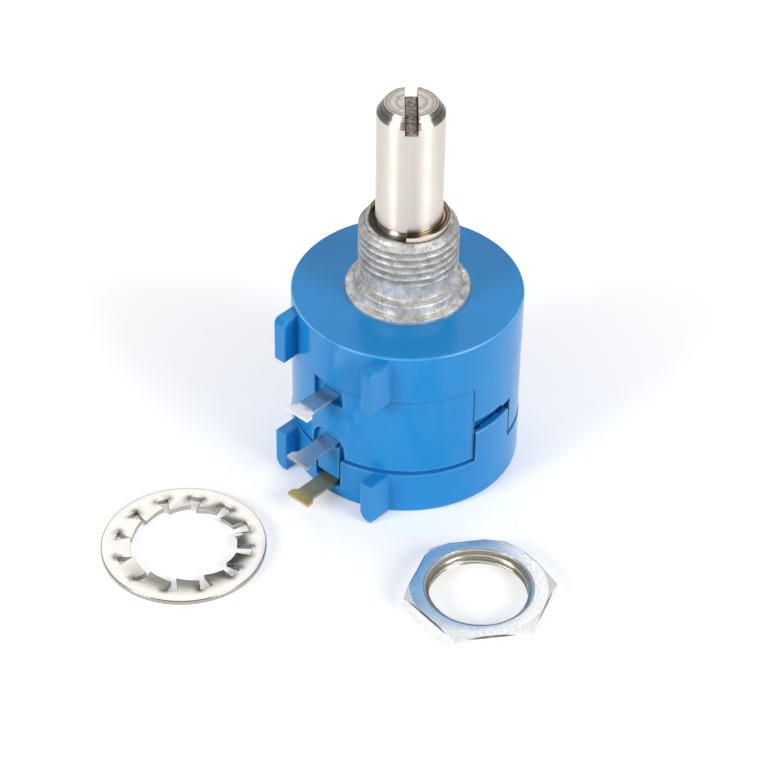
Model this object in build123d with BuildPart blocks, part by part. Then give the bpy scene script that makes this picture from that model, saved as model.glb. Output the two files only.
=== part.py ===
# Ten-turn panel potentiometer: 22 mm snap-together plastic body, threaded bushing, slotted shaft.
# Millimetres. Z runs along the shaft, the rear face is at z = 0 and the solder terminals point to -Y.

import os
from math import cos, degrees, radians, sin, sqrt, tan

from build123d import *

os.makedirs("parts", exist_ok=True)

# Body shells
body_dia = 22.22
body_length = 19.05
body_edge_round = 0.3
housing_wall = 1.61
front_wall = 2.2
rear_floor = 1.3
cover_height = 4.75
parting_gap = 0.5
spigot_wall = 0.9
spigot_floor_gap = 0.7
shell_clearance = 0.05

# Snap tongues of the rear cover and their windows in the front housing, angles in degrees
tongue_angle = 25.2
tongue_lean = 1.7
tongue_height = 3.55
tongue_side_gap = 1.4
tongue_round = 0.2
window_height = 1.6
hook_angle = 14.0
hook_height = 0.6
hook_depth = 0.3
hook_tip = 0.1
hook_flat = 0.2
hook_slack = 0.1
peep_angle = 8.5
peep_height = 1.2
peep_drop = 0.35

# Shallow panels that the mould's side cores leave between the windows, angles in degrees
panel_recess = 0.05
panel_top_z = 13.75
front_panel_angle = 154.8
rear_panel_angle = 148.4

# Lugs beside the terminals
lug_offset = 5.58
lug_thickness = 1.37
lug_proud = 0.69
lug_round = 0.15
front_lug_length = 4.8
front_lug_setback = 0.5
front_lug_round = 0.7
rear_lug_round = 1.05
rear_lug_lift = 0.2
rear_lug_setback = 0.06

# Solder terminals
terminal_thickness = 0.3
terminal_proud = 4.14
terminal_tip_width = 2.7
terminal_neck_width = 1.9
terminal_ear = 0.7
terminal_shoulder = 0.4
terminal_clearance = 0.05
upper_terminal_z = 12.2
middle_terminal_z = 6.25
upper_window_width = 3.65
upper_window_height = 2.2
upper_window_drop = 0.7
middle_arch_width = 4.1
middle_arch_rise = 1.7
tab_width = 2.8
tab_drop = 2.3
tab_recess = 0.08
cover_notch_width = 3.2
terminal_seat = 0.2
terminal_seat_width = 2.6
terminal_boss_gap = 1.0

# Threaded bushing, heights measured from the front face
thread_dia = 9.525
bushing_height = 7.92
thread_chamfer = 0.6
neck_dia = 8.6
neck_top = 3.1
pilot_dia = 10.31
pilot_height = 1.45
bushing_seat_dia = 12.0
flange_height = 0.35
bushing_rim_dia = 13.2
bushing_rim = 0.4
mouth_dia = 7.1
mouth_depth = 0.35
press_clearance = 0.02

# Shaft, its reach measured from the top of the bushing's flange
shaft_dia = 6.35
shaft_reach = 20.62
shaft_chamfer = 0.68
shaft_chamfer_height = 1.03
bearing_dia = 6.0
shaft_clearance = 0.03
slot_width = 1.19
slot_depth = 1.55
slot_bearing = 43.0
shoulder_depth = 2.0
rotor_seat_dia = 4.8
journal_dia = 3.2
journal_length = 2.15
bearing_boss_dia = 6.0
bearing_boss_height = 1.15

# Retaining ring in the shaft's groove, just above the bushing; the bearing is from -Y towards +X
ring_dia = 7.8
ring_thickness = 0.5
ring_groove_dia = 5.5
ring_side_gap = 0.04
ring_opening = 106.0
ring_bearing = -14.5

# Coil of resistance wire on its former
turns = 10
pitch = 1.05
coil_wire = 0.68
coil_clearance = 0.05
coil_tail = 15.0

# Rotor, slip ring and collector
thrust_washer_dia = 11.2
thrust_washer_thickness = 0.3
end_play = 0.05
rotor_rear_gap = 1.7
rotor_coil_gap = 1.5
channel_depth = 2.2
pocket_inner_dia = 8.8
pocket_wall = 0.9
pocket_floor = 1.2
pocket_angle = 62.0
slip_ring_inset = 1.27
slip_ring_width = 1.6
slip_ring_thickness = 0.25
collector_width = 1.2
collector_thickness = 0.15

# Carriage and its contact spring
carriage_height = 2.2
carriage_width = 2.4
carriage_clearance = 0.1
carriage_coil_gap = 0.3
guide_thickness = 0.19
guide_length = 1.2
guide_depth = 0.45
contact_slot_width = 0.7
contact_slot_height = 0.9
contact_thickness = 0.12
contact_width = 0.5
contact_gap = 0.06
contact_kink = 0.22

# Straps from the coil's ends to their terminals
tap_thickness = 0.25
tap_angle = 9.0
tap_foot_height = 0.8
tap_pad_angle = 5.0
tap_pad_height = 0.6
tap_pad_gap = 0.02
tap_pocket_depth = 0.42
tap_wall_gap = 0.07
tap_pocket_angle = 42.0

# Brush on the wiper terminal
brush_thickness = 0.15
brush_width = 1.0
brush_reach = 2.6
brush_tip = 0.5
brush_tip_drop = 0.17
brush_gap = 0.04
brush_base = 2.6

# Loose hardware lying on the same surface
nut_place = (20.8, -12.4)
nut_across_flats = 12.7
nut_thickness = 1.8
nut_turn = 51.7
nut_minor_dia = 8.7
nut_mouth_dia = 10.2
nut_mouth_depth = 0.45
nut_corner_dia = 13.6
nut_corner_slope = 30.0
washer_place = (-4.3, -26.3)
washer_dia = 15.7
washer_root_dia = 13.0
washer_bore_dia = 10.1
washer_thickness = 0.5
tooth_count = 12
tooth_width = 2.15
tooth_thickness = 0.45
tooth_twist = 14.0
tooth_phase = 20.0

# Radii and levels that follow from the sizes above
body_r = body_dia / 2
bore_r = body_r - housing_wall
spigot_r = bore_r + spigot_wall
cover_inner_r = spigot_r + shell_clearance
skirt_z = cover_height + parting_gap
spigot_z = rear_floor + spigot_floor_gap
front_inner_z = body_length - front_wall
tongue_top_z = cover_height + tongue_height
window_top_z = tongue_top_z + window_height
peep_top_z = window_top_z - peep_drop
latch_z = tongue_top_z - hook_height - hook_slack
latch_r = cover_inner_r - hook_depth - shell_clearance
shaft_r = shaft_dia / 2
bearing_r = bearing_dia / 2
bearing_bore_r = bearing_r + shaft_clearance
bushing_rim_z = front_inner_z - bushing_rim
bushing_top_z = body_length + bushing_height
washer_z = bushing_rim_z - end_play - thrust_washer_thickness
rotor_front_z = washer_z - end_play
rotor_rear_z = rear_floor + rotor_rear_gap
slip_ring_z = rotor_rear_z - slip_ring_thickness
coil_outer_r = bore_r - coil_clearance
coil_r = coil_outer_r - coil_wire / 2
coil_inner_r = coil_outer_r - coil_wire
rotor_r = coil_inner_r - rotor_coil_gap
channel_r = rotor_r - channel_depth
slip_ring_r = rotor_r - slip_ring_inset
mid_z = (rotor_front_z + rotor_rear_z) / 2
coil_low_z = mid_z - pitch * (turns / 2 + coil_tail / 360)
coil_high_z = mid_z + pitch * (turns / 2 + coil_tail / 360)
tap_outer_r = bore_r + tap_pocket_depth - tap_wall_gap
tap_inner_r = tap_outer_r - tap_thickness
wiper_terminal_z = rear_floor + terminal_seat
lug_root_y = sqrt((bore_r + housing_wall / 2) ** 2 - lug_offset**2)
lug_skin_y = sqrt(body_r**2 - lug_offset**2)
lug_end_y = body_r + lug_proud
terminal_bearing = -90.0
ring_groove_z = bushing_top_z + ring_side_gap
shaft_end_z = body_length + flange_height + shaft_reach
shoulder_z = rotor_front_z - shoulder_depth
journal_top_z = rotor_rear_z - end_play
journal_low_z = journal_top_z - journal_length
washer_band_r = (washer_dia + washer_root_dia) / 4


def ring_sector(inner_r, outer_r, middle, width):
    # Flat piece of a ring, centred on an angle from +X and as wide as another, in degrees
    with BuildSketch() as sector:
        with BuildLine():
            inner = CenterArc((0, 0), inner_r, middle - width / 2, width)
            outer = CenterArc((0, 0), outer_r, middle - width / 2, width)
            Line(inner @ 0, outer @ 0)
            Line(inner @ 1, outer @ 1)
        make_face()
    return sector.sketch


def radial_plane(angle):
    # Upright plane through the axis: local x points outward at that angle from +X, local y is +Z
    turn = radians(angle)
    return Plane(origin=(0, 0, 0), x_dir=(cos(turn), sin(turn), 0), z_dir=(sin(turn), -cos(turn), 0))


def terminal_blade(inner_y):
    # T-shaped solder blade seen from above, from its wide tip to the inner end
    tip_y = -body_r - terminal_proud
    ear_y = tip_y + terminal_ear
    shoulder_y = ear_y + terminal_shoulder
    with BuildSketch() as blade:
        with BuildLine():
            Polyline(
                (0, tip_y),
                (terminal_tip_width / 2, tip_y),
                (terminal_tip_width / 2, ear_y),
                (terminal_neck_width / 2, shoulder_y),
                (terminal_neck_width / 2, inner_y),
                (0, inner_y),
            )
            mirror(about=Plane.YZ)
        make_face()
    return blade.sketch


def lug_edges(part, low_z, high_z):
    # Outlines of the lugs' two flat sides, away from where they grow out of the wall
    limit = -lug_skin_y - (lug_end_y - lug_skin_y) / 4
    return part.edges().filter_by(
        lambda e: abs(e.tangent_at(0.5).X) < 0.5
        and e.center().Y < limit
        and abs(abs(e.center().X) - lug_offset) < lug_thickness
        and low_z <= e.center().Z <= high_z
    )


def tongue_bearing(side):
    # The two tongues mirror each other and stand a little behind the middle of the body
    return 90 - side * (90 - tongue_lean)


# Front housing: cup with a thinner spigot that goes down inside the rear cover
with BuildPart() as front_housing:
    with BuildSketch(Plane.XZ):
        with BuildLine():
            Polyline(
                (bushing_seat_dia / 2, front_inner_z),
                (bushing_seat_dia / 2, body_length),
                (body_r, body_length),
                (body_r, skirt_z),
                (spigot_r, skirt_z),
                (spigot_r, spigot_z),
                (bore_r, spigot_z),
                (bore_r, front_inner_z),
                close=True,
            )
        make_face()
    revolve(axis=Axis.Z)
    rim = front_housing.edges().filter_by(GeomType.CIRCLE).group_by(Axis.Z)[-1].sort_by(SortBy.RADIUS)[-1]
    fillet(rim, body_edge_round)
    # panels a little lower than the skin round them
    for middle, angle in ((terminal_bearing, front_panel_angle), (-terminal_bearing, rear_panel_angle)):
        with BuildSketch(Plane.XY.offset(skirt_z)):
            add(ring_sector(body_r - panel_recess, body_dia, middle, angle))
        extrude(amount=panel_top_z - skirt_z, mode=Mode.SUBTRACT)
    # upper pair of lugs
    front_lug_top = body_length - front_lug_setback
    front_lug_base = front_lug_top - front_lug_length
    for side in (-1, 1):
        with BuildSketch(Plane.YZ.offset(side * lug_offset)):
            with BuildLine():
                base = Line((-lug_root_y, front_lug_base), (-lug_end_y, front_lug_base))
                front = Line(base @ 1, (-lug_end_y, front_lug_top - front_lug_round))
                corner = TangentArc(front @ 1, (-lug_end_y + front_lug_round, front_lug_top), tangent=(0, 1))
                Polyline(corner @ 1, (-lug_root_y, front_lug_top), base @ 0)
            make_face()
        extrude(amount=lug_thickness / 2, both=True)
    fillet(lug_edges(front_housing, front_lug_base, front_lug_top), lug_round)
    # slots for the cover's tongues, with the ledge that each hook catches above it
    slot_angle = tongue_angle + 2 * tongue_side_gap
    tall_angle = slot_angle - peep_angle
    for side in (-1, 1):
        slot_middle = tongue_bearing(side)
        tall_middle = slot_middle - side * peep_angle / 2
        for middle, angle, top_z in (
            (slot_middle, slot_angle, peep_top_z),
            (tall_middle, tall_angle, window_top_z),
        ):
            with BuildSketch(Plane.XY.offset(skirt_z)):
                add(ring_sector(spigot_r, body_dia, middle, angle))
            extrude(amount=top_z - skirt_z, mode=Mode.SUBTRACT)
            with BuildSketch(Plane.XY.offset(latch_z)):
                add(ring_sector(latch_r, spigot_r + shell_clearance, middle, angle))
            extrude(amount=top_z - latch_z, mode=Mode.SUBTRACT)
        # small core hole at the window's rear end
        peep_middle = slot_middle + side * tall_angle / 2
        with BuildSketch(Plane.XY.offset(peep_top_z - peep_height)):
            add(ring_sector(coil_r, spigot_r, peep_middle, peep_angle))
        extrude(amount=peep_height, mode=Mode.SUBTRACT)
    # window round the upper terminal
    with BuildSketch(Plane.XZ.offset(spigot_r)):
        with Locations((0, upper_terminal_z - upper_window_drop + upper_window_height / 2)):
            Rectangle(upper_window_width, upper_window_height)
    extrude(amount=body_r, mode=Mode.SUBTRACT)
    # arched notch round the middle terminal, open at the skirt
    with BuildSketch(Plane.XZ.offset(spigot_r)):
        arch_r = middle_arch_width / 2
        arch_z = middle_terminal_z + middle_arch_rise - arch_r
        with BuildLine():
            over = CenterArc((0, arch_z), arch_r, 0, 180)
            Polyline(over @ 1, (-arch_r, cover_height), (arch_r, cover_height), over @ 0)
        make_face()
    extrude(amount=body_r, mode=Mode.SUBTRACT)
    # tab under the middle terminal, reaching down into the cover's notch
    tab_top_z = middle_terminal_z - terminal_clearance
    tab_low_z = cover_height - tab_drop
    tab_angle = degrees(tab_width / body_r)
    with BuildSketch(Plane.XY.offset(tab_low_z)):
        add(ring_sector(spigot_r - spigot_wall / 2, body_r - tab_recess, terminal_bearing, tab_angle))
    extrude(amount=tab_top_z - tab_low_z)
    # pockets in the bore for the coil's end straps
    upper_pocket_z = upper_terminal_z - 2 * terminal_clearance
    lower_pocket_z = middle_terminal_z + terminal_thickness + 2 * terminal_clearance
    for low, high in ((upper_pocket_z, front_inner_z), (spigot_z, lower_pocket_z)):
        with BuildSketch(Plane.XY.offset(low)):
            add(ring_sector(coil_r, bore_r + tap_pocket_depth, terminal_bearing, tap_pocket_angle))
        extrude(amount=high - low, mode=Mode.SUBTRACT)
    # slits that the two end terminals pass through
    for level in (upper_terminal_z, middle_terminal_z):
        with BuildSketch(Plane.XY.offset(level - terminal_clearance)):
            with Locations((0, -bore_r - housing_wall / 2)):
                Rectangle(terminal_neck_width + 2 * terminal_clearance, 2 * housing_wall)
        extrude(amount=terminal_thickness + 2 * terminal_clearance, mode=Mode.SUBTRACT)
front_housing.part.label = "front_housing"
export_step(front_housing.part, "parts/front_housing.step")

# Rear cover: shallow cup with the shaft's rear bearing, two snap tongues and the lower lugs
with BuildPart() as rear_cover:
    with BuildSketch(Plane.XY):
        Circle(body_r)
    extrude(amount=cover_height)
    foot = rear_cover.edges().filter_by(GeomType.CIRCLE).sort_by(Axis.Z)[0]
    chamfer(foot, body_edge_round)
    # lower pair of lugs, each with the same lower corner rounded off
    rear_lug_top = cover_height - rear_lug_setback
    for side in (-1, 1):
        with BuildSketch(Plane.XZ.offset(lug_root_y)) as lug_outline:
            with Locations((side * lug_offset, (rear_lug_lift + rear_lug_top) / 2)):
                Rectangle(lug_thickness, rear_lug_top - rear_lug_lift)
            fillet(lug_outline.vertices().group_by(Axis.Y)[0].sort_by(Axis.X)[0], rear_lug_round)
        extrude(amount=lug_end_y - lug_root_y)
    fillet(lug_edges(rear_cover, rear_lug_lift + rear_lug_round + lug_round, rear_lug_top), lug_round)
    with BuildSketch(Plane.XY.offset(rear_floor)):
        Circle(cover_inner_r)
    extrude(amount=cover_height, mode=Mode.SUBTRACT)
    # blind bearing for the shaft's rear journal
    with BuildSketch(Plane.XY):
        Circle(bearing_boss_dia / 2)
    extrude(amount=rear_floor + bearing_boss_height)
    with BuildSketch(Plane.XY.offset(journal_low_z - end_play)):
        Circle(journal_dia / 2 + shaft_clearance)
    extrude(amount=body_length, mode=Mode.SUBTRACT)
    # snap tongues with the hooks that hold the shells together
    for side in (-1, 1):
        bearing = tongue_bearing(side)
        with BuildSketch(Plane.XY.offset(rear_floor)):
            add(ring_sector(cover_inner_r, body_r, bearing, tongue_angle))
        extrude(amount=tongue_top_z - rear_floor)
        tongue_rims = rear_cover.edges().filter_by(GeomType.CIRCLE).group_by(Axis.Z)[-1]
        if side > 0:
            tongue_rims = tongue_rims.filter_by(lambda e: e.center().X > 0)
        fillet(tongue_rims, tongue_round)
        with BuildSketch(radial_plane(bearing - hook_angle / 2)):
            with BuildLine():
                Polyline(
                    (cover_inner_r + tongue_round, tongue_top_z),
                    (cover_inner_r - hook_tip, tongue_top_z),
                    (cover_inner_r - hook_depth, tongue_top_z - hook_height + hook_flat),
                    (cover_inner_r - hook_depth, tongue_top_z - hook_height),
                    (cover_inner_r + tongue_round, tongue_top_z - hook_height),
                    close=True,
                )
            make_face()
        revolve(axis=Axis.Z, revolution_arc=hook_angle)
    # notch for the housing's tab, with the wiper terminal in its foot
    notch_angle = degrees(cover_notch_width / body_r)
    with BuildSketch(Plane.XY.offset(wiper_terminal_z - terminal_seat / 2)):
        add(ring_sector(cover_inner_r - housing_wall, body_dia, terminal_bearing, notch_angle))
    extrude(amount=cover_height, mode=Mode.SUBTRACT)
    # raised seat under the wiper terminal
    seat_near_y = bearing_boss_dia / 2 - terminal_seat
    seat_far_y = cover_inner_r - housing_wall / 2
    with BuildSketch(Plane.XY.offset(rear_floor - terminal_seat)):
        with Locations((0, -(seat_near_y + seat_far_y) / 2)):
            Rectangle(terminal_seat_width, seat_far_y - seat_near_y)
    extrude(amount=2 * terminal_seat)
rear_cover.part.label = "rear_cover"
export_step(rear_cover.part, "parts/rear_cover.step")

# Threaded bushing, pushed through the front wall from inside as far as its rim
with BuildPart() as bushing:
    with BuildSketch(Plane.XZ):
        with BuildLine():
            Polyline(
                (bearing_bore_r, bushing_rim_z),
                (bushing_rim_dia / 2, bushing_rim_z),
                (bushing_rim_dia / 2, front_inner_z),
                (bushing_seat_dia / 2 - press_clearance, front_inner_z),
                (bushing_seat_dia / 2 - press_clearance, body_length + flange_height),
                (pilot_dia / 2, body_length + flange_height),
                (pilot_dia / 2, body_length + pilot_height),
                (neck_dia / 2, body_length + pilot_height),
                (neck_dia / 2, body_length + neck_top),
                (thread_dia / 2, body_length + neck_top),
                (thread_dia / 2, bushing_top_z - thread_chamfer),
                (thread_dia / 2 - thread_chamfer, bushing_top_z),
                (mouth_dia / 2, bushing_top_z),
                (bearing_bore_r, bushing_top_z - mouth_depth),
                close=True,
            )
        make_face()
    revolve(axis=Axis.Z)
bushing.part.label = "bushing"
export_step(bushing.part, "parts/bushing.step")

# Shaft: slotted end, ring groove, bearing length in the bushing, rotor seat and rear journal
with BuildPart() as shaft:
    with BuildSketch(Plane.XZ):
        with BuildLine():
            Polyline(
                (0, journal_low_z),
                (journal_dia / 2, journal_low_z),
                (journal_dia / 2, journal_top_z),
                (rotor_seat_dia / 2, journal_top_z),
                (rotor_seat_dia / 2, shoulder_z),
                (bearing_r, shoulder_z),
                (bearing_r, ring_groove_z),
                (ring_groove_dia / 2, ring_groove_z),
                (ring_groove_dia / 2, ring_groove_z + ring_thickness + 2 * ring_side_gap),
                (shaft_r, ring_groove_z + ring_thickness + 2 * ring_side_gap),
                (shaft_r, shaft_end_z - shaft_chamfer_height),
                (shaft_r - shaft_chamfer, shaft_end_z),
                (0, shaft_end_z),
                close=True,
            )
        make_face()
    revolve(axis=Axis.Z)
    with BuildSketch(Plane.XY.offset(shaft_end_z - slot_depth)):
        Rectangle(2 * shaft_dia, slot_width, rotation=slot_bearing - 90)
    extrude(amount=2 * slot_depth, mode=Mode.SUBTRACT)
shaft.part.label = "shaft"
export_step(shaft.part, "parts/shaft.step")

# Open retaining ring in the groove: it keeps the shaft from being pushed into the body
with BuildPart() as retaining_ring:
    ring_middle = ring_bearing + 90
    with BuildSketch(Plane.XY.offset(ring_groove_z + ring_side_gap)):
        add(ring_sector(ring_groove_dia / 2 + shaft_clearance, ring_dia / 2, ring_middle, 360 - ring_opening))
    extrude(amount=ring_thickness)
retaining_ring.part.label = "retaining_ring"
export_step(retaining_ring.part, "parts/retaining_ring.step")

# Thrust washer between the rotor and the bushing's rim
with BuildPart() as thrust_washer:
    with BuildSketch(Plane.XY.offset(washer_z)):
        Circle(thrust_washer_dia / 2)
        Circle(bearing_bore_r, mode=Mode.SUBTRACT)
    extrude(amount=thrust_washer_thickness)
thrust_washer.part.label = "thrust_washer"
export_step(thrust_washer.part, "parts/thrust_washer.step")

# Rotor: moulded drum pressed on the shaft, with the carriage's channel down one side
with BuildPart() as rotor:
    with BuildSketch(Plane.XZ):
        with BuildLine():
            Polyline(
                (rotor_seat_dia / 2 + press_clearance, rotor_rear_z),
                (rotor_r, rotor_rear_z),
                (rotor_r, rotor_front_z),
                (bearing_r + press_clearance, rotor_front_z),
                (bearing_r + press_clearance, shoulder_z),
                (rotor_seat_dia / 2 + press_clearance, shoulder_z),
                close=True,
            )
        make_face()
    revolve(axis=Axis.Z)
    # channel with a flat floor, open at both ends
    with BuildSketch(Plane.XY.offset(rotor_rear_z)):
        with Locations((0, -channel_r - rotor_r)):
            Rectangle(carriage_width + 2 * carriage_clearance, 2 * rotor_r)
    extrude(amount=rotor_front_z - rotor_rear_z, mode=Mode.SUBTRACT)
    # cored pockets that keep the walls even
    for middle in (0, 90, 180):
        with BuildSketch(Plane.XY.offset(rotor_rear_z + pocket_floor)):
            add(ring_sector(pocket_inner_dia / 2, rotor_r - pocket_wall, middle, pocket_angle))
        extrude(amount=rotor_front_z - rotor_rear_z, mode=Mode.SUBTRACT)
rotor.part.label = "rotor"
export_step(rotor.part, "parts/rotor.step")

# Slip ring on the rotor's rear face
with BuildPart() as slip_ring:
    with BuildSketch(Plane.XY.offset(slip_ring_z)):
        Circle(slip_ring_r)
        Circle(slip_ring_r - slip_ring_width, mode=Mode.SUBTRACT)
    extrude(amount=slip_ring_thickness)
slip_ring.part.label = "slip_ring"
export_step(slip_ring.part, "parts/slip_ring.step")

# Collector strip along the channel's floor, standing on the slip ring
with BuildPart() as collector_strip:
    with BuildSketch(Plane.XY.offset(rotor_rear_z)):
        with Locations((0, -channel_r - collector_thickness / 2)):
            Rectangle(collector_width, collector_thickness)
    extrude(amount=rotor_front_z - rotor_rear_z)
collector_strip.part.label = "collector_strip"
export_step(collector_strip.part, "parts/collector_strip.step")

# Coil: ten turns and a short tail at each end, pressed in the housing's bore
with BuildPart() as resistance_element:
    coil_start = terminal_bearing - coil_tail
    with BuildLine() as coil_path:
        coil_height = coil_high_z - coil_low_z
        centre_line = Helix(pitch, coil_height, coil_r, center=(0, 0, coil_low_z), mode=Mode.PRIVATE)
        add(centre_line.rotate(Axis.Z, coil_start))
    start = coil_path.line @ 0
    with BuildSketch(Plane(origin=start, x_dir=(start.X, start.Y, 0), z_dir=coil_path.line % 0)):
        Rectangle(coil_wire, coil_wire)
    sweep(is_frenet=True)
resistance_element.part.label = "resistance_element"
export_step(resistance_element.part, "parts/resistance_element.step")

# Carriage: block that slides in the channel, with two teeth that follow the coil's turns
with BuildPart() as carriage:
    carriage_inner_y = channel_r + collector_thickness + carriage_clearance
    carriage_outer_y = coil_inner_r - carriage_coil_gap
    with BuildSketch(Plane.XY.offset(mid_z)):
        with Locations((0, -(carriage_inner_y + carriage_outer_y) / 2)):
            Rectangle(carriage_width, carriage_outer_y - carriage_inner_y)
    extrude(amount=carriage_height / 2, both=True)
    for step in (-1, 1):
        with BuildSketch(Plane.XY.offset(mid_z + step * pitch / 2)):
            with Locations((0, -(carriage_inner_y + coil_inner_r + guide_depth) / 2)):
                Rectangle(guide_length, coil_inner_r + guide_depth - carriage_inner_y)
        extrude(amount=guide_thickness / 2, both=True)
    with BuildSketch(Plane.XZ.offset(carriage_inner_y)):
        with Locations((0, mid_z)):
            Rectangle(contact_slot_width, contact_slot_height - guide_thickness)
    extrude(amount=coil_r, mode=Mode.SUBTRACT)
carriage.part.label = "carriage"
export_step(carriage.part, "parts/carriage.step")

# Contact spring: a kinked leaf in the carriage's slot, from the collector to the coil
with BuildPart() as wiper_contact:
    leaf_inner_y = channel_r + collector_thickness + contact_gap
    leaf_outer_y = coil_inner_r - contact_gap
    leaf_quarter = (leaf_outer_y - leaf_inner_y) / 4
    with BuildSketch(Plane.YZ):
        with BuildLine():
            Polyline(
                (-leaf_outer_y, mid_z),
                (-leaf_outer_y + leaf_quarter, mid_z + contact_kink),
                (-leaf_inner_y - leaf_quarter, mid_z - contact_kink),
                (-leaf_inner_y, mid_z),
            )
        trace(line_width=contact_thickness)
    extrude(amount=contact_width / 2, both=True)
wiper_contact.part.label = "wiper_contact"
export_step(wiper_contact.part, "parts/wiper_contact.step")

# Straps that join the coil's two ends to the inner ends of their terminals
tap_foot_angle = coil_tail + tap_angle
with BuildPart() as end_tap_front:
    foot_z = upper_terminal_z + terminal_thickness
    with BuildSketch(Plane.XY.offset(foot_z)):
        add(ring_sector(tap_inner_r, tap_outer_r, terminal_bearing + coil_tail / 2, tap_foot_angle))
    extrude(amount=tap_foot_height)
    with BuildSketch(Plane.XY.offset(foot_z)):
        add(ring_sector(tap_inner_r, tap_outer_r, terminal_bearing + coil_tail, tap_angle))
    extrude(amount=coil_high_z + tap_pad_height / 2 - foot_z)
    with BuildSketch(Plane.XY.offset(coil_high_z)):
        add(ring_sector(coil_outer_r + tap_pad_gap, tap_outer_r, terminal_bearing + coil_tail, tap_pad_angle))
    extrude(amount=tap_pad_height / 2, both=True)
end_tap_front.part.label = "end_tap_front"
export_step(end_tap_front.part, "parts/end_tap_front.step")

with BuildPart() as end_tap_rear:
    with BuildSketch(Plane.XY.offset(middle_terminal_z)):
        add(ring_sector(tap_inner_r, tap_outer_r, terminal_bearing - coil_tail / 2, tap_foot_angle))
    extrude(amount=-tap_foot_height)
    with BuildSketch(Plane.XY.offset(middle_terminal_z)):
        add(ring_sector(tap_inner_r, tap_outer_r, terminal_bearing - coil_tail, tap_angle))
    extrude(amount=coil_low_z - tap_pad_height / 2 - middle_terminal_z)
    with BuildSketch(Plane.XY.offset(coil_low_z)):
        add(ring_sector(coil_outer_r + tap_pad_gap, tap_outer_r, terminal_bearing - coil_tail, tap_pad_angle))
    extrude(amount=tap_pad_height / 2, both=True)
end_tap_rear.part.label = "end_tap_rear"
export_step(end_tap_rear.part, "parts/end_tap_rear.step")

# Solder terminals: two end terminals through the housing's wall, the wiper's over the cover's floor
with BuildPart() as terminal_upper:
    with BuildSketch(Plane.XY.offset(upper_terminal_z)):
        add(terminal_blade(-tap_inner_r))
    extrude(amount=terminal_thickness)
terminal_upper.part.label = "terminal_upper"
export_step(terminal_upper.part, "parts/terminal_upper.step")

with BuildPart() as terminal_middle:
    with BuildSketch(Plane.XY.offset(middle_terminal_z)):
        add(terminal_blade(-tap_inner_r))
    extrude(amount=terminal_thickness)
terminal_middle.part.label = "terminal_middle"
export_step(terminal_middle.part, "parts/terminal_middle.step")

with BuildPart() as terminal_wiper:
    with BuildSketch(Plane.XY.offset(wiper_terminal_z)):
        add(terminal_blade(-bearing_boss_dia / 2 - terminal_boss_gap))
    extrude(amount=terminal_thickness)
terminal_wiper.part.label = "terminal_wiper"
export_step(terminal_wiper.part, "parts/terminal_wiper.step")

# Brush: two spring arms that rise from the wiper terminal to the slip ring
with BuildPart() as wiper_brush:
    brush_y = (slip_ring_r - slip_ring_width / 2 + bearing_boss_dia / 2) / 2 + brush_width / 2
    base_z = wiper_terminal_z + terminal_thickness + brush_thickness / 2
    contact_z = slip_ring_z - brush_gap - brush_thickness / 2
    with BuildSketch(Plane.XZ.offset(brush_y)):
        with BuildLine():
            Polyline(
                (-brush_reach - brush_tip, contact_z - brush_tip_drop),
                (-brush_reach, contact_z),
                (-brush_base / 2, base_z),
                (brush_base / 2, base_z),
                (brush_reach, contact_z),
                (brush_reach + brush_tip, contact_z - brush_tip_drop),
            )
        trace(line_width=brush_thickness)
    extrude(amount=brush_width / 2, both=True)
wiper_brush.part.label = "wiper_brush"
export_step(wiper_brush.part, "parts/wiper_brush.step")

# Internal-tooth lock washer, lying taken off beside the body; its teeth are twisted out of flat
washer_plane = Plane(origin=(*washer_place, 0))
tooth_set = tooth_width / 2 * sin(radians(tooth_twist))
washer_mid_z = tooth_set + washer_thickness / 2
tooth_planes = [
    Plane(origin=(washer_band_r, 0, washer_mid_z), x_dir=(0, 1, 0), z_dir=(-1, 0, 0)),
    Plane(origin=(washer_bore_dia / 2, 0, washer_mid_z), x_dir=(0, 1, 0), z_dir=(-1, 0, 0)),
]
with BuildPart() as tooth:
    with BuildSketch(tooth_planes[0]):
        Rectangle(tooth_width, tooth_thickness)
    with BuildSketch(tooth_planes[1]):
        Rectangle(tooth_width, tooth_thickness, rotation=tooth_twist)
    loft()

with BuildPart(washer_plane) as lock_washer:
    with BuildSketch(washer_plane.offset(washer_mid_z)):
        Circle(washer_dia / 2)
        Circle(washer_root_dia / 2, mode=Mode.SUBTRACT)
    extrude(amount=washer_thickness / 2, both=True)
    with PolarLocations(0, tooth_count, start_angle=tooth_phase):
        add(tooth.part)
lock_washer.part.label = "lock_washer"
export_step(lock_washer.part, "parts/lock_washer.step")

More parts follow.
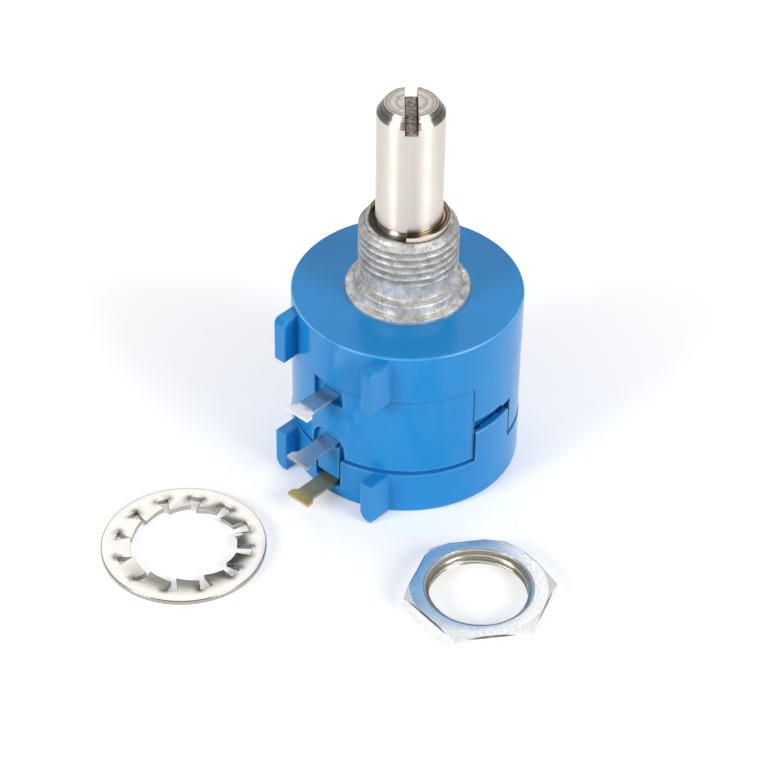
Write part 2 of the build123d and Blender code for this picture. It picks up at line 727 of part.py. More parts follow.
# Mounting nut, lying taken off beside the body
nut_plane = Plane(origin=(*nut_place, 0))
nut_section = Plane(origin=(*nut_place, 0), x_dir=(1, 0, 0), z_dir=(0, -1, 0))
with BuildPart(nut_plane) as mounting_nut:
    with BuildSketch(nut_plane):
        RegularPolygon(nut_across_flats / 2, 6, major_radius=False, rotation=nut_turn)
    extrude(amount=nut_thickness)
    nut_axis = Axis((*nut_place, 0), (0, 0, 1))
    # corners turned down on both faces
    with BuildSketch(nut_section):
        with BuildLine():
            Polyline(
                (0, 0),
                (nut_corner_dia / 2, 0),
                (nut_corner_dia / 2 + nut_thickness / 2 / tan(radians(nut_corner_slope)), nut_thickness / 2),
                (nut_corner_dia / 2, nut_thickness),
                (0, nut_thickness),
                close=True,
            )
        make_face()
    revolve(axis=nut_axis, mode=Mode.INTERSECT)
    # threaded hole at its minor diameter, with a wide mouth at both ends
    with BuildSketch(nut_section):
        with BuildLine():
            Polyline(
                (0, 0),
                (nut_mouth_dia / 2, 0),
                (nut_minor_dia / 2, nut_mouth_depth),
                (nut_minor_dia / 2, nut_thickness - nut_mouth_depth),
                (nut_mouth_dia / 2, nut_thickness),
                (0, nut_thickness),
                close=True,
            )
        make_face()
    revolve(axis=nut_axis, mode=Mode.SUBTRACT)
mounting_nut.part.label = "mounting_nut"
export_step(mounting_nut.part, "parts/mounting_nut.step")
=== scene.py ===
from functools import partial
from math import cos, degrees, pi, radians, sin, sqrt, tan

import bmesh
import bpy
from mathutils import Matrix, Vector


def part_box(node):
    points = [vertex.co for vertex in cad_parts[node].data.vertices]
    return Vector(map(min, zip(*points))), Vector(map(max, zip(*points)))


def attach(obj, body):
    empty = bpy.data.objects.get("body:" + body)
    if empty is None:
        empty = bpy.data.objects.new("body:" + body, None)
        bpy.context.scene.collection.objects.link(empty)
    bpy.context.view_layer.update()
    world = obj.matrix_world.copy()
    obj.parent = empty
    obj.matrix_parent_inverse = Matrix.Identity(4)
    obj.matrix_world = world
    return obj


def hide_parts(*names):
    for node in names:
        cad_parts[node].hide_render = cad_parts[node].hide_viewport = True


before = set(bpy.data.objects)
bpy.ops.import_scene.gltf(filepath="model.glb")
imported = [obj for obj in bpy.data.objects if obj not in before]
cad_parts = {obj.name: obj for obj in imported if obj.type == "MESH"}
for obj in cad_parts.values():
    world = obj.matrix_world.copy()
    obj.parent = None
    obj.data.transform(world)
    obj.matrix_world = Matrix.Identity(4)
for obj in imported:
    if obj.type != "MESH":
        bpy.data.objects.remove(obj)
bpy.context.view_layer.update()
scene = bpy.context.scene
mm = 0.001
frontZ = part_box("front_housing")[1].z / mm  # front face of the body
first, second = 6, 7  # a Mix node's colour inputs; its number inputs are 2 and 3
edgeSamples = 6  # rays that the rounded and rubbed edges take for each point
print("frame loaded, front face at", round(frontZ, 3), "mm")


def linear(hexColour):
    # "#3489cf" as the eye sees it, to the linear values that the shaders take
    parts = [int(hexColour[i:i + 2], 16) / 255 for i in (1, 3, 5)]
    return tuple(c / 12.92 if c <= 0.04045 else ((c + 0.055) / 1.055) ** 2.4 for c in parts) + (1.0,)


def perMetre(sizeMm):
    # texture scale for a feature of that size in millimetres
    return 1000 / sizeMm


def inMetres(*millimetres):
    return tuple(length * mm for length in millimetres)


def addNode(tree, kind, settings={}, links={}):
    # a setting is a property of the node, one of its inputs, or a pair for the Min and Max of From or To;
    # inputs that share a name go by number, and a linked node stands for its first output in use
    node = tree.nodes.new("ShaderNode" + kind)
    for key, value in settings.items():
        if key in ("From", "To"):
            node.inputs[key + " Min"].default_value, node.inputs[key + " Max"].default_value = value
        elif isinstance(key, str) and hasattr(node, key):
            setattr(node, key, value)
        else:
            node.inputs[key].default_value = value
    for key, source in links.items():
        if isinstance(source, bpy.types.Node):
            source = next(output for output in source.outputs if output.enabled)
        tree.links.new(source, node.inputs[key])
    return node


def startNodes(owner):
    # empties a material's or the world's nodes, and gives the function that adds new ones there
    owner.use_nodes = True
    owner.node_tree.nodes.clear()
    return partial(addNode, owner.node_tree)


def newMaterial(name):
    # the material, the function that adds nodes to it, and the point in the piece's own metres
    material = bpy.data.materials.new(name)
    add = startNodes(material)
    return material, add, add("TexCoord").outputs["Object"]


def finishMaterial(material, add, values, links):
    # the shader with its patterns linked; the plain values under them serve where patterns can't be followed
    shader = add("BsdfPrincipled", values, links)
    add("OutputMaterial", links={"Surface": shader})
    return material


def aroundAxis(add, point):
    # the point's three coordinates, and its distance from the Z axis
    x, y, z = add("SeparateXYZ", links={0: point}).outputs
    flat = add("CombineXYZ", links={0: x, 1: y})
    return x, y, z, add("VectorMath", {"operation": "LENGTH"}, {0: flat})


def dress(material, *nodes):
    for name in nodes:
        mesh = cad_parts[name].data
        mesh.materials.clear()
        mesh.materials.append(material)


def addObject(name, data):
    thing = bpy.data.objects.new(name, data)
    scene.collection.objects.link(thing)
    return thing


def towards(bearing, elevation):
    # unit vector for a bearing from the terminals' side towards +X, in degrees
    side, rise = radians(bearing), radians(elevation)
    return Vector((cos(rise) * sin(side), -cos(rise) * cos(side), sin(rise)))


def polar(r, angle, z=0, middle=(0, 0, 0)):
    return middle[0] + r * cos(angle), middle[1] + r * sin(angle), middle[2] + z


def middleOf(node):
    # middle of a CAD node's box, in millimetres
    return [(low + high) / 2 / mm for low, high in zip(*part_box(node))]


# Camera, solved from the photograph: the body's rims, the bushing and the shaft; lengths in metres
view = {
    "distance": 0.26983, "aimHeight": 0.015, "elevation": 38.58, "bearing": 41.5,
    "pan": 0.429, "tilt": -1.3445, "roll": -1.193,
    "sensor": 36, "focalPixels": 2815.43, "imagePixels": 769, "clip": (0.01, 20),
}


def makeCamera():
    back = towards(view["bearing"], view["elevation"])
    place = back * view["distance"]
    place.z += view["aimHeight"]
    ahead = -back
    side = radians(view["bearing"])
    right = Vector((cos(side), sin(side), 0))
    up = right.cross(ahead)
    turn = Matrix.Rotation(radians(view["pan"]), 3, up)
    ahead, right = turn @ ahead, turn @ right
    turn = Matrix.Rotation(radians(view["tilt"]), 3, right)
    ahead, up = turn @ ahead, turn @ up
    turn = Matrix.Rotation(radians(view["roll"]), 3, ahead)
    right, up = turn @ right, turn @ up
    lens = bpy.data.cameras.new("camera")
    lens.sensor_width = view["sensor"]
    lens.lens = view["sensor"] * view["focalPixels"] / view["imagePixels"]
    lens.clip_start, lens.clip_end = view["clip"]
    camera = addObject("camera", lens)
    camera.matrix_world = Matrix.Translation(place) @ Matrix((right, up, -ahead)).transposed().to_4x4()
    scene.camera = camera


makeCamera()
print("camera placed")

# Studio: a white card on a grey table, a soft sky that is bright behind the object and dark at the horizon,
# and two soft boxes beside the camera; lengths in metres
studio = {
    "skyHorizon": 0.05, "skySide": 0.14, "skyBack": 1.15, "horizon": (0.2, 0.5),
    "backElevation": 57, "backSpread": (0.78, 0.93),
    "cardColour": "#f4f4f6", "tableColour": "#6c6d72", "cardEnds": (0.11, 0.2),
    "foot": (0.013, 0.04), "lift": (0.29, 0.42), "tableReach": 3.0, "tableSides": 96, "tableDrop": 0.00002,
    "boxes": {
        "leftBox": {"bearing": -12, "elevation": 24, "distance": 0.55, "size": 0.26, "level": 0.6},
        "rightBox": {"bearing": 96, "elevation": 26, "distance": 0.55, "size": 0.30, "level": 0.66},
    },
}


def makeStudio():
    scene.view_settings.view_transform = "Standard"
    world = bpy.data.worlds.new("soft studio sky")
    scene.world = world
    add = startNodes(world)
    aim = add("TexCoord").outputs["Generated"]
    parts = add("SeparateXYZ", links={0: aim})
    height = add("MapRange", {"From": studio["horizon"], "interpolation_type": "SMOOTHSTEP"},
                 {"Value": parts.outputs["Z"]})
    brightest = towards(view["bearing"] + 180, studio["backElevation"])
    behind = add("VectorMath", {"operation": "DOT_PRODUCT", 1: brightest}, {0: aim})
    back = add("MapRange", {"From": studio["backSpread"], "To": (studio["skySide"], studio["skyBack"]),
                            "interpolation_type": "SMOOTHSTEP"}, {"Value": behind})
    level = add("Mix", {2: studio["skyHorizon"]}, {"Factor": height, 3: back})
    sky = add("Background", {"Color": (1, 1, 1, 1)}, {"Strength": level})
    add("OutputWorld", links={"Surface": sky})
    for name, box in studio["boxes"].items():
        lamp = bpy.data.lights.new(name, "AREA")
        lamp.shape = "DISK"
        lamp.size = box["size"]
        # so that level is about what it adds to a white that faces it
        lamp.energy = box["level"] * (pi * box["distance"]) ** 2
        outward = towards(box["bearing"], box["elevation"])
        lampObject = addObject(name, lamp)
        lampObject.location = outward * box["distance"]
        lampObject.rotation_euler = outward.to_track_quat("Z", "Y").to_euler()


def makeFloor():
    material, add, point = newMaterial("white table card")
    grain = add("TexNoise", {"Scale": perMetre(0.4), "Detail": 2}, {"Vector": point})
    relief = add("Bump", {"Strength": 0.02, "Distance": 0.02 * mm}, {"Height": grain})
    # the card is white as far as the camera sees, and gives way to the grey table for light and reflections
    path = add("LightPath").outputs
    away = add("VectorMath", {"operation": "LENGTH"}, {0: point})
    edge = add("MapRange", {"From": studio["cardEnds"], "interpolation_type": "SMOOTHSTEP"}, {"Value": away})
    unseen = add("Math", {"operation": "SUBTRACT", 0: 1.0}, {1: path["Is Camera Ray"]})
    table = add("Math", {"operation": "MULTIPLY"}, {0: edge, 1: unseen})
    colours = {first: linear(studio["cardColour"]), second: linear(studio["tableColour"])}
    colour = add("Mix", {"data_type": "RGBA", **colours}, {"Factor": table})
    # the card photographs as white where no shadow falls
    seen = add("Math", {"operation": "ADD"}, {0: path["Is Camera Ray"], 1: path["Is Glossy Ray"]})
    seen = add("Math", {"operation": "ADD", "use_clamp": True}, {0: seen, 1: path["Is Transmission Ray"]})
    card = add("Math", {"operation": "SUBTRACT", 0: 1.0}, {1: table})
    near = add("Math", {"operation": "MULTIPLY"}, {0: seen, 1: card})
    # painted shade round the object's foot: the card glows less there, so that the shadows there stay deep
    rising = add("MapRange", {"From": studio["foot"], "To": studio["lift"]}, {"Value": away})
    lift = add("Math", {"operation": "MULTIPLY"}, {0: near, 1: rising})
    glow = add("Emission", {"Color": (1, 1, 1, 1)}, {"Strength": lift})
    shader = add("BsdfPrincipled", {"Roughness": 0.9, "Specular IOR Level": 0.1},
                 {"Base Color": colour, "Normal": relief})
    both = add("AddShader", links={0: shader, 1: glow})
    add("OutputMaterial", links={"Surface": both})
    sides = studio["tableSides"]
    mesh = bpy.data.meshes.new("table")
    ring = [polar(studio["tableReach"], 2 * pi * i / sides) for i in range(sides)]
    mesh.from_pydata(ring, [], [tuple(range(sides))])
    mesh.materials.append(material)
    table = addObject("table", mesh)
    table.location.z = -studio["tableDrop"]


makeStudio()
makeFloor()
print("studio lit")


def solidFromLoops(name, loops, body, material, node, sharpFrom):
    # closed skin over equal loops of points in millimetres, the last loop joined to the first;
    # edges stay sharp from that angle on, in degrees
    count = len(loops[0])
    points = [tuple(c * mm for c in p) for loop in loops for p in loop]
    faces = []
    for i in range(len(loops)):
        here, after = i * count, (i + 1) % len(loops) * count
        for j in range(count):
            k = (j + 1) % count
            faces.append((here + j, after + j, after + k, here + k))
    mesh = bpy.data.meshes.new(name)
    mesh.from_pydata(points, [], faces)
    shape = bmesh.new()
    shape.from_mesh(mesh)
    bmesh.ops.remove_doubles(shape, verts=shape.verts, dist=1e-8)
    bmesh.ops.recalc_face_normals(shape, faces=shape.faces)
    shape.to_mesh(mesh)
    shape.free()
    mesh.polygons.foreach_set("use_smooth", [True] * len(mesh.polygons))
    mesh.set_sharp_from_angle(angle=radians(sharpFrom))
    mesh.materials.append(material)
    solid = addObject(name, mesh)
    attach(solid, body)
    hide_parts(node)


def rounded(corners, steps=4):
    # corners are (r, z, rounding): each corner turned into a short arc of steps + 1 points
    share = 0.45  # of a side that one arc may take, so that two never meet
    points = []
    for i, (r, z, size) in enumerate(corners):
        here = Vector((r, z))
        before = Vector(corners[i - 1][:2]) - here
        after = Vector(corners[(i + 1) % len(corners)][:2]) - here
        reach = min(size, before.length * share, after.length * share)
        if reach < 1e-6:
            points += [(r, z)] * (steps + 1)
            continue
        start, end = here + before.normalized() * reach, here + after.normalized() * reach
        for k in range(steps + 1):
            t = k / steps
            points.append(tuple(start * (1 - t) ** 2 + here * 2 * t * (1 - t) + end * t * t))
    return points


def threadGroove(phase, crest, root):
    # 0 on the crest and 1 at the root, with straight flanks eased at both ends
    t = abs((phase % 1) - 0.5) * 2
    t = min(1, max(0, (t - crest) / (1 - crest - root)))
    return t * t * (3 - 2 * t)


# Bushing: turned brass with a dull nickel plate
bushing = {
    "pitch": 25.4 / 32, "threadRadius": 4.7625, "threadDepth": 0.43, "crest": 0.16, "root": 0.12,
    "top": frontZ + 7.92, "chamfer": 0.6, "threadStops": 0.03, "leadSlope": 1.2, "neckRadius": 4.3,
    "neckTop": frontZ + 3.1, "pilotRadius": 5.155, "pilotTop": frontZ + 1.45, "flangeRadius": 5.98,
    "flangeTop": frontZ + 0.35, "rimRadius": 6.6, "rimLow": frontZ - 2.6, "rimTop": frontZ - 2.2,
    "boreRadius": 3.03, "boreEnds": frontZ - 2.4, "mouthRadius": 3.82, "mouthDepth": 0.4,
    "columns": 180, "rowsPerPitch": 14, "sharpFrom": 38,
    "threadShadeStarts": (frontZ + 3.0, frontZ + 3.25), "threadShadeEnds": (frontZ + 7.07, frontZ + 7.27),
    "threadShadeRadius": (4.3325, 4.6625), "ringShadeEdge": (3.76, 3.9),
}


def dullNickel():
    # turned brass, barrel-plated with dull nickel: grainy grey, mottled and pitted, with painted shade in the
    # thread's hollows and under the retaining ring
    material, add, point = newMaterial("dull nickel-plated turned brass")
    cloud = add("TexNoise", {"Scale": perMetre(1.1), "Detail": 5, "Roughness": 0.7}, {"Vector": point})
    contrast = add("MapRange", {"From": (0.34, 0.66)}, {"Value": cloud})
    tone = add("Mix", {"data_type": "RGBA", first: linear("#b6b6b3"), second: linear("#fdfcf9")},
               {"Factor": contrast})
    _, _, z, radius = aroundAxis(add, point)
    # painted shade: the threaded length below the chamfer is painted darker towards the thread's roots
    onThread = add("MapRange", {"From": inMetres(*bushing["threadShadeStarts"])}, {"Value": z})
    belowChamfer = add("MapRange", {"From": inMetres(*bushing["threadShadeEnds"]), "To": (1, 0)}, {"Value": z})
    onThread = add("Math", {"operation": "MULTIPLY"}, {0: onThread, 1: belowChamfer})
    hollow = add("MapRange", {"From": inMetres(*bushing["threadShadeRadius"]), "To": (0.62, 0)}, {"Value": radius})
    threadRootShade = add("Math", {"operation": "MULTIPLY"}, {0: onThread, 1: hollow})
    tone = add("Mix", {"data_type": "RGBA", second: linear("#6c6e6e")}, {"Factor": threadRootShade, first: tone})
    pits = add("TexNoise", {"Scale": perMetre(0.3), "Detail": 3, "Roughness": 0.6}, {"Vector": point})
    pitted = add("MapRange", {"From": (0.57, 0.68), "To": (0, 0.6)}, {"Value": pits})
    colour = add("Mix", {"data_type": "RGBA", second: linear("#74736f")}, {"Factor": pitted, first: tone})
    # painted shade: the recess under the retaining ring is painted dark
    ringRecessShade = add("MapRange", {"From": inMetres(*bushing["ringShadeEdge"]), "To": (0.85, 0)}, {"Value": radius})
    colour = add("Mix", {"data_type": "RGBA", second: linear("#57504c")}, {"Factor": ringRecessShade, first: colour})
    gloss = add("MapRange", {"To": (0.55, 0.36)}, {"Value": contrast})
    grain = add("TexNoise", {"Scale": perMetre(0.16), "Detail": 4, "Roughness": 0.7}, {"Vector": point})
    relief = add("Bump", {"Strength": 0.8, "Distance": 0.04 * mm}, {"Height": grain})
    dents = add("Bump", {"Strength": 0.7, "Distance": 0.06 * mm, "invert": True},
                {"Height": pitted, "Normal": relief})
    return finishMaterial(material, add, {"Metallic": 0.62, "Roughness": 0.5},
                          {"Base Color": colour, "Roughness": gloss, "Normal": dents})


def makeBushing():
    b = bushing
    low = rounded([
        (b["boreRadius"], b["rimLow"], 0.05), (b["rimRadius"], b["rimLow"], 0.05),
        (b["rimRadius"], b["rimTop"], 0.05), (b["flangeRadius"], b["rimTop"], 0),
        (b["flangeRadius"], b["flangeTop"], 0.14), (b["pilotRadius"], b["flangeTop"], 0.1),
        (b["pilotRadius"], b["pilotTop"], 0.3), (b["neckRadius"], b["pilotTop"], 0.18),
        (b["neckRadius"], b["neckTop"], 0),
    ])
    high = rounded([
        (b["threadRadius"] - b["chamfer"], b["top"], 0.1), (b["mouthRadius"], b["top"], 0.08),
        (b["boreRadius"], b["top"] - b["mouthDepth"], 0.05), (b["boreRadius"], b["boreEnds"], 0),
    ])
    threadLow, threadHigh = b["neckTop"], b["top"] - b["threadStops"]
    rows = int((threadHigh - threadLow) / b["pitch"] * b["rowsPerPitch"])
    loops = []
    for i in range(b["columns"]):
        angle = 2 * pi * i / b["columns"]
        profile = list(low)
        for j in range(rows + 1):
            z = threadLow + (threadHigh - threadLow) * j / rows
            cut = b["threadDepth"] * threadGroove(z / b["pitch"] - angle / (2 * pi), b["crest"], b["root"])
            lead = b["neckRadius"] + (z - threadLow) * b["leadSlope"]
            cone = b["threadRadius"] - b["chamfer"] + (b["top"] - z)
            profile.append((min(b["threadRadius"] - cut, lead, cone), z))
        profile += high
        loops.append([polar(r, angle, z) for r, z in profile])
    plate = dullNickel()
    solidFromLoops("threaded_bushing", loops, "housing", plate, "bushing", b["sharpFrom"])


makeBushing()
print("bushing threaded")

# Mounting nut: bright-plated brass, lying beside the body
nut = {
    "flats": 6.35, "turn": 51.7, "thickness": 1.8, "cornerRadius": 6.45, "cornerSlope": 31,
    "mouthRadius": 5.12, "mouthDepth": 0.26, "boreShift": (-0.22, -0.035), "threadRadius": 4.58,
    "threadDepth": 0.36, "crest": 0.14, "root": 0.14, "edge": 0.14, "hair": 0.001,
    "columns": 288, "rowsPerPitch": 16, "sharpFrom": 32,
    "boreShadeEdge": (5.15, 5.2), "shadeLineSide": (6.26, 6.3), "shadeLineHeight": (1.54, 1.58),
    "frostedFrom": (6.4, 6.45), "mirror": 0.86, "frostLoss": 1.7, "softEdge": 0.07,
}


def tumbledNickel(nutCentre, boreCentre):
    # nickel over brass, plated in a tumbling barrel: a hazy mirror with faint rings, orange peel and dings,
    # with painted shade in the bore and along the faces' top edges
    material, add, point = newMaterial("bright nickel-plated brass nut")
    local = add("VectorMath", {"operation": "SUBTRACT", 1: boreCentre}, {0: point})
    _, _, z, radius = aroundAxis(add, local)
    rings = add("TexNoise", {"noise_dimensions": "1D", "Scale": perMetre(0.16), "Detail": 3}, {"W": radius})
    cloud = add("TexNoise", {"Scale": perMetre(2.5), "Detail": 4}, {"Vector": point})
    dings = add("TexNoise", {"Scale": perMetre(0.25), "Detail": 4, "Roughness": 0.7}, {"Vector": point})
    speck = add("MapRange", {"From": (0.35, 0.55)}, {"Value": dings})
    tone = add("Mix", {"data_type": "RGBA", first: linear("#e4e6e5"), second: linear("#fbfbf9")},
               {"Factor": speck})
    # painted shade in the bore: the bore is painted a darker beige
    boreShade = add("MapRange", {"From": inMetres(*nut["boreShadeEdge"]), "To": (1, 0)}, {"Value": radius})
    colour = add("Mix", {"data_type": "RGBA", second: linear("#cfcabd")}, {"Factor": boreShade, first: tone})
    # painted shade: a dark hairline along the top edge of the faces, three pairs 60 degrees apart
    middle = add("VectorMath", {"operation": "SUBTRACT", 1: nutCentre}, {0: point})
    reaches = []
    for k in range(3):
        facing = polar(1, radians(nut["turn"] + 30 + 60 * k))
        reach = add("VectorMath", {"operation": "DOT_PRODUCT", 1: facing}, {0: middle})
        reaches.append(add("Math", {"operation": "ABSOLUTE"}, {0: reach}))
    widest = add("Math", {"operation": "MAXIMUM"}, {0: reaches[0], 1: reaches[1]})
    widest = add("Math", {"operation": "MAXIMUM"}, {0: widest, 1: reaches[2]})
    atFace = add("MapRange", {"From": inMetres(*nut["shadeLineSide"])}, {"Value": widest})
    atTop = add("MapRange", {"From": inMetres(*nut["shadeLineHeight"])}, {"Value": z})
    broken = add("MapRange", {"From": (0.35, 0.55), "To": (0.6, 0.95)}, {"Value": cloud})
    edgeShadeLine = add("Math", {"operation": "MULTIPLY"}, {0: atFace, 1: atTop})
    edgeShadeLine = add("Math", {"operation": "MULTIPLY"}, {0: edgeShadeLine, 1: broken})
    colour = add("Mix", {"data_type": "RGBA", second: linear("#4a4844")}, {"Factor": edgeShadeLine, first: colour})
    # the turned corners were left frosted, so they scatter light where the faces mirror it
    corner = add("MapRange", {"From": inMetres(*nut["frostedFrom"]), "To": (0, 0.28)}, {"Value": radius})
    mirror = add("Math", {"operation": "MULTIPLY_ADD", 1: -nut["frostLoss"], 2: nut["mirror"]}, {0: corner})
    haze = add("MapRange", {"To": (0.2, 0.32)}, {"Value": cloud})
    gloss = add("Math", {"operation": "ADD"}, {0: corner, 1: haze})
    soft = add("Bevel", {"samples": edgeSamples, "Radius": nut["softEdge"] * mm})
    cut = add("Bump", {"Strength": 0.15, "Distance": 0.01 * mm}, {"Height": rings, "Normal": soft})
    peel = add("Bump", {"Strength": 0.15, "Distance": 0.02 * mm}, {"Height": cloud, "Normal": cut})
    tumbled = add("Bump", {"Strength": 0.1, "Distance": 0.02 * mm}, {"Height": dings, "Normal": peel})
    return finishMaterial(material, add, {"Metallic": 1.0, "Roughness": 0.3}, {
        "Base Color": colour, "Metallic": mirror, "Roughness": gloss, "Normal": tumbled})


def makeNut():
    n = nut
    middle = middleOf("mounting_nut")[:2] + [0]
    loops = []
    rows = int(n["thickness"] / bushing["pitch"] * n["rowsPerPitch"])
    for i in range(n["columns"]):
        angle = 2 * pi * i / n["columns"] + radians(n["turn"])
        fromFlat = (angle - radians(n["turn"])) % (pi / 3) - pi / 6
        outer = n["flats"] / cos(fromFlat)
        # the bore and the turned corners stand a little off the hexagon's middle
        shift = n["boreShift"][0] * cos(angle) + n["boreShift"][1] * sin(angle)
        aside = n["boreShift"][0] * sin(angle) - n["boreShift"][1] * cos(angle)
        turned = shift + sqrt(n["cornerRadius"] ** 2 - aside ** 2)
        drop = max(0, outer - turned) * tan(radians(n["cornerSlope"]))
        # a hair apart, so that no two corners meet where the turning misses the hexagon
        inside = min(outer, turned) - n["hair"]
        mouthEdge = shift + sqrt(n["mouthRadius"] ** 2 - aside ** 2)
        profile = rounded([
            (mouthEdge, 0, 0.05), (inside, 0, 0.04), (outer, drop + n["hair"], n["edge"]),
            (outer, n["thickness"] - drop - n["hair"], n["edge"]), (inside, n["thickness"], 0.04),
            (mouthEdge, n["thickness"], 0.05),
        ])
        for j in range(1, rows):
            z = n["thickness"] * (1 - j / rows)
            edge = min(z, n["thickness"] - z)
            mouth = n["mouthRadius"] - edge * (n["mouthRadius"] - n["threadRadius"]) / n["mouthDepth"]
            groove = threadGroove(z / bushing["pitch"] - angle / (2 * pi), n["crest"], n["root"])
            wall = n["threadRadius"] + n["threadDepth"] * groove
            profile.append((shift + sqrt(max(mouth, wall) ** 2 - aside ** 2), z))
        loops.append([polar(r, angle, z, middle) for r, z in profile])
    boreCentre = [middle[0] + n["boreShift"][0], middle[1] + n["boreShift"][1], 0]
    plate = tumbledNickel(inMetres(*middle), inMetres(*boreCentre))
    solidFromLoops("mounting_nut_threaded", loops, "nut", plate, "mounting_nut", n["sharpFrom"])


makeNut()
print("nut made")

# Lock washer: stamped spring steel with twelve twisted teeth
washer = {
    "radius": 7.84, "rootRadius": 6.5, "tipRadius": 5.05, "thickness": 0.5, "teeth": 12, "phase": 20,
    "width": 2.15, "twist": 14, "bendRadius": 7.1, "bendHaste": 1.2, "edge": 0.1, "lowerEdge": 0.06,
    "seam": 0.02, "toothRows": 6, "toothColumns": 10, "gapColumns": 6, "bandRows": 3, "sharpFrom": 36,
    "rootShadeRadius": 6.45, "rootShadeReach": 0.9, "rootShadeArc": 6.6, "rootShadeStray": 0.8,
    "sideShadeTowards": (0.87, -0.5, 0), "sideShadeStarts": (0.8, 4.0), "sideShadeRadius": (5.6, 7.3),
    "steepShadeRadius": (6.9, 7.3), "rimRadius": (7.74, 7.8), "softEdge": 0.1,
}


def satinNickel(centre):
    # nickel on spring steel: pale and warm, with fine rolling scratches, and painted shade round the tooth
    # roots, down one side, on the steep edges and on the rim
    w = washer
    material, add, point = newMaterial("satin nickel on spring steel")
    stretched = add("Mapping", {"Scale": (1, 9, 1), "Rotation": (0, 0, 0.6)}, {"Vector": point})
    scratch = add("TexNoise", {"Scale": perMetre(0.9), "Detail": 4, "Roughness": 0.6}, {"Vector": stretched})
    cloud = add("TexNoise", {"Scale": perMetre(2.0), "Detail": 4}, {"Vector": point})
    tone = add("Mix", {"data_type": "RGBA", first: linear("#e9e5dc"), second: linear("#faf8f3")},
               {"Factor": cloud})
    # painted shade, grey-brown, at the root of each tooth, on the side that is bent down
    local = add("VectorMath", {"operation": "SUBTRACT", 1: centre}, {0: point})
    x, y, _ = add("SeparateXYZ", links={0: local}).outputs
    radius = add("VectorMath", {"operation": "LENGTH"}, {0: local})
    bearing = add("Math", {"operation": "ARCTAN2"}, {0: y, 1: x})
    sector = 2 * pi / w["teeth"]
    lowSide = radians(w["phase"]) + w["width"] / 2 / w["rootRadius"]
    turned = add("Math", {"operation": "SUBTRACT", 1: lowSide}, {0: bearing})
    # counted in teeth; the half puts the painted shade in the middle of a count, and the twenty keep it above
    # zero
    share = add("Math", {"operation": "MULTIPLY_ADD", 1: 1 / sector, 2: 20 + 0.5}, {0: turned})
    phase = add("Math", {"operation": "FRACT"}, {0: share})
    arcLength = sector * w["rootShadeArc"] * mm
    arc = add("Math", {"operation": "MULTIPLY_ADD", 1: arcLength, 2: -0.5 * arcLength}, {0: phase})
    inward = add("Math", {"operation": "SUBTRACT", 1: w["rootShadeRadius"] * mm}, {0: radius})
    spot = add("CombineXYZ", links={0: arc, 1: inward})
    noise = add("TexNoise", {"Scale": perMetre(0.9), "Detail": 3}, {"Vector": point})
    reach = w["rootShadeStray"] * mm
    stray = add("VectorMath", {"operation": "MULTIPLY_ADD", 1: (reach, reach, 0),
                               2: (-reach / 2, -reach / 2, 0)}, {0: noise.outputs["Color"]})
    spot = add("VectorMath", {"operation": "ADD"}, {0: spot, 1: stray})
    far = add("VectorMath", {"operation": "LENGTH"}, {0: spot})
    ring = add("MapRange", {"From": inMetres(0, w["rootShadeReach"]), "To": (1, 0),
                            "interpolation_type": "SMOOTHSTEP"}, {"Value": far})
    patch = add("TexNoise", {"Scale": perMetre(0.8), "Detail": 3}, {"Vector": point})
    paintedLight = add("MapRange", {"From": (0.32, 0.6), "To": (0.35, 1)}, {"Value": patch})
    rootShade = add("Math", {"operation": "MULTIPLY"}, {0: ring, 1: paintedLight})
    colour = add("Mix", {"data_type": "RGBA", second: linear("#6f675c")}, {"Factor": rootShade, first: tone})
    # painted shade, grey, on the teeth along one side of the washer, deepest at their tips
    aside = add("VectorMath", {"operation": "DOT_PRODUCT", 1: w["sideShadeTowards"]}, {0: local})
    shadeSide = add("MapRange", {"From": inMetres(*w["sideShadeStarts"])}, {"Value": aside})
    sideShadeReach = add("MapRange", {"From": inMetres(*w["sideShadeRadius"]), "To": (0.95, 0),
                                  "interpolation_type": "SMOOTHSTEP"}, {"Value": radius})
    sideShade = add("Math", {"operation": "MULTIPLY"}, {0: shadeSide, 1: sideShadeReach})
    colour = add("Mix", {"data_type": "RGBA", second: linear("#86837a")}, {"Factor": sideShade, first: colour})
    # painted shade on the punched edges: the steeper a face stands, the darker it is painted
    normal = add("NewGeometry").outputs["True Normal"]
    facing = add("SeparateXYZ", links={0: normal})
    level = add("Math", {"operation": "ABSOLUTE"}, {0: facing.outputs["Z"]})
    steep = add("MapRange", {"From": (0.35, 0.75), "To": (0.7, 0)}, {"Value": level})
    inner = add("MapRange", {"From": inMetres(*w["steepShadeRadius"]), "To": (1, 0)}, {"Value": radius})
    steepEdgeShade = add("Math", {"operation": "MULTIPLY"}, {0: steep, 1: inner})
    colour = add("Mix", {"data_type": "RGBA", second: linear("#8a867d")}, {"Factor": steepEdgeShade, first: colour})
    # painted shade: the outer rim is painted a darker grey
    rim = add("MapRange", {"From": inMetres(*w["rimRadius"])}, {"Value": radius})
    colour = add("Mix", {"data_type": "RGBA", second: linear("#aeaaa2")}, {"Factor": rim, first: colour})
    gloss = add("MapRange", {"To": (0.13, 0.28)}, {"Value": scratch})
    soft = add("Bevel", {"samples": edgeSamples, "Radius": w["softEdge"] * mm})
    relief = add("Bump", {"Strength": 0.18, "Distance": 0.01 * mm}, {"Height": scratch, "Normal": soft})
    return finishMaterial(material, add, {"Metallic": 1.0, "Roughness": 0.2},
                          {"Base Color": colour, "Roughness": gloss, "Normal": relief})


